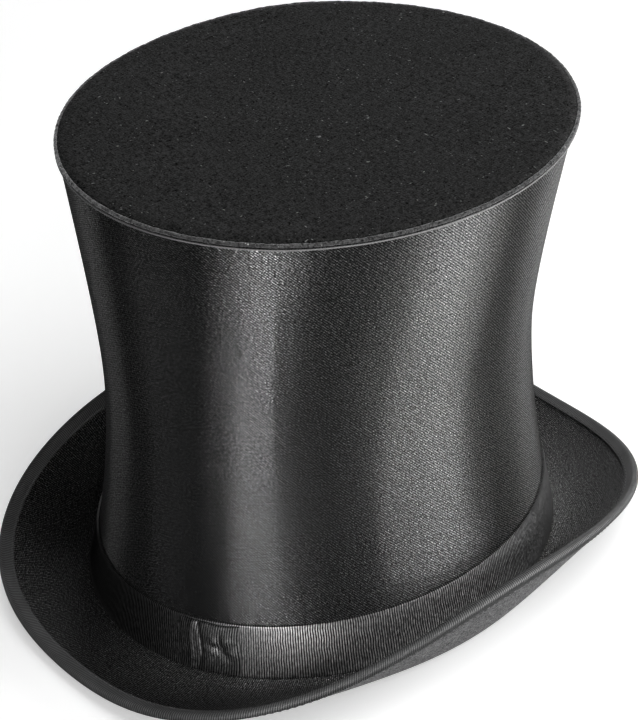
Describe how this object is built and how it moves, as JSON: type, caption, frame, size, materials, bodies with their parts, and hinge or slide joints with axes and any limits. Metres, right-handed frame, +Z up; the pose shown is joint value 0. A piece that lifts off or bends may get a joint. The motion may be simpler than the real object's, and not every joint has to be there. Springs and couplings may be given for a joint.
{
  "type": "collapsible top hat",
  "caption": "Tall black satin opera hat with a waisted crown, curled bound brim and ribbon, on a sprung folding frame that lets the crown collapse flat.",
  "frame": {"origin": "centre of the head opening, in the plane of the brim's flat underside that the hat rests on", "axes": "+Z up, +X towards the wearer's left, -Y towards the front"},
  "size_m": [0.2118, 0.2686, 0.1954],
  "materials": {
    "satin": "satin",
    "matte_cloth": "matte woven",
    "tip_cloth": "matte felted",
    "grosgrain": "ribbed",
    "bow_ribbon": "satin",
    "lining_cloth": "satin",
    "stiff_board": "shellacked cloth board",
    "leather": "satin",
    "reed": "satin",
    "welt_cord": "satin",
    "arm_steel": "satin",
    "hoop_steel": "blackened satin",
    "spring_wire": "bright",
    "pin_brass": "satin"
  },
  "bodies": {
    "brim": {"brim_core": "stiff_board", "brim_top_cover": "satin", "brim_under_cover": "matte_cloth", "brim_binding": "grosgrain", "brim_edge_wire": "arm_steel", "base_hoop": "hoop_steel", "base_brackets": "hoop_steel", "base_pivot_pins": "pin_brass", "base_rivets": "pin_brass", "side_cover": "satin", "side_lining": "lining_cloth", "hat_ribbon": "grosgrain", "ribbon_join": "grosgrain", "sweatband": "leather", "sweatband_reed": "reed", "sweatband_bow": "bow_ribbon"},
    "tip": {"tip_hoop": "hoop_steel", "tip_brackets": "hoop_steel", "tip_pivot_pins": "pin_brass", "tip_rivets": "pin_brass", "tip_board": "stiff_board", "tip_cover": "tip_cloth", "tip_welt": "welt_cord", "tip_lining": "lining_cloth"},
    "lower_arm_1": {"lower_arm_1": "arm_steel", "elbow_pin_1": "pin_brass", "elbow_spring_1": "spring_wire"},
    "upper_arm_1": {"upper_arm_1": "arm_steel"},
    "lower_arm_2": {"lower_arm_2": "arm_steel", "elbow_pin_2": "pin_brass", "elbow_spring_2": "spring_wire"},
    "upper_arm_2": {"upper_arm_2": "arm_steel"},
    "lower_arm_3": {"lower_arm_3": "arm_steel", "elbow_pin_3": "pin_brass", "elbow_spring_3": "spring_wire"},
    "upper_arm_3": {"upper_arm_3": "arm_steel"},
    "lower_arm_4": {"lower_arm_4": "arm_steel", "elbow_pin_4": "pin_brass", "elbow_spring_4": "spring_wire"},
    "upper_arm_4": {"upper_arm_4": "arm_steel"}
  },
  "joints": [
    {"name": "collapse", "type": "hinge", "parent": "brim", "child": "lower_arm_1", "pos_m": [0.05384, -0.06422, 0.0266], "axis": [-0.7663, -0.6425, 0], "range_deg": [0, 78], "stiffness_Nm_per_rad": 0.5, "springref_deg": -28.65, "deforming": ["side_cover", "side_lining"]},
    {"name": "elbow_1", "type": "hinge", "parent": "lower_arm_1", "child": "upper_arm_1", "pos_m": [0.04786, -0.05709, 0.099], "axis": [-0.7663, -0.6425, 0], "range_deg": [-156, 0]},
    {"name": "base_pivot_2", "type": "hinge", "parent": "brim", "child": "lower_arm_2", "pos_m": [0.05384, 0.06422, 0.0266], "axis": [0.7663, -0.6425, 0], "range_deg": [0, 78]},
    {"name": "elbow_2", "type": "hinge", "parent": "lower_arm_2", "child": "upper_arm_2", "pos_m": [0.04786, 0.05709, 0.099], "axis": [0.7663, -0.6425, 0], "range_deg": [-156, 0]},
    {"name": "base_pivot_3", "type": "hinge", "parent": "brim", "child": "lower_arm_3", "pos_m": [-0.05384, 0.06422, 0.0266], "axis": [0.7663, 0.6425, 0], "range_deg": [0, 78]},
    {"name": "elbow_3", "type": "hinge", "parent": "lower_arm_3", "child": "upper_arm_3", "pos_m": [-0.04786, 0.05709, 0.099], "axis": [0.7663, 0.6425, 0], "range_deg": [-156, 0]},
    {"name": "base_pivot_4", "type": "hinge", "parent": "brim", "child": "lower_arm_4", "pos_m": [-0.05384, -0.06422, 0.0266], "axis": [-0.7663, 0.6425, 0], "range_deg": [0, 78]},
    {"name": "elbow_4", "type": "hinge", "parent": "lower_arm_4", "child": "upper_arm_4", "pos_m": [-0.04786, -0.05709, 0.099], "axis": [-0.7663, 0.6425, 0], "range_deg": [-156, 0]},
    {"name": "tip_pivot_1", "type": "hinge", "parent": "upper_arm_1", "child": "tip", "pos_m": [0.05384, -0.06422, 0.1714], "axis": [-0.7663, -0.6425, 0], "range_deg": [0, 78]}
  ],
  "couplings": [
    {"joint": "elbow_1", "follows": "collapse", "ratio": -2},
    {"joint": "base_pivot_2", "follows": "collapse", "ratio": 1},
    {"joint": "elbow_2", "follows": "collapse", "ratio": -2},
    {"joint": "base_pivot_3", "follows": "collapse", "ratio": 1},
    {"joint": "elbow_3", "follows": "collapse", "ratio": -2},
    {"joint": "base_pivot_4", "follows": "collapse", "ratio": 1},
    {"joint": "elbow_4", "follows": "collapse", "ratio": -2},
    {"joint": "tip_pivot_1", "follows": "collapse", "ratio": 1}
  ]
}
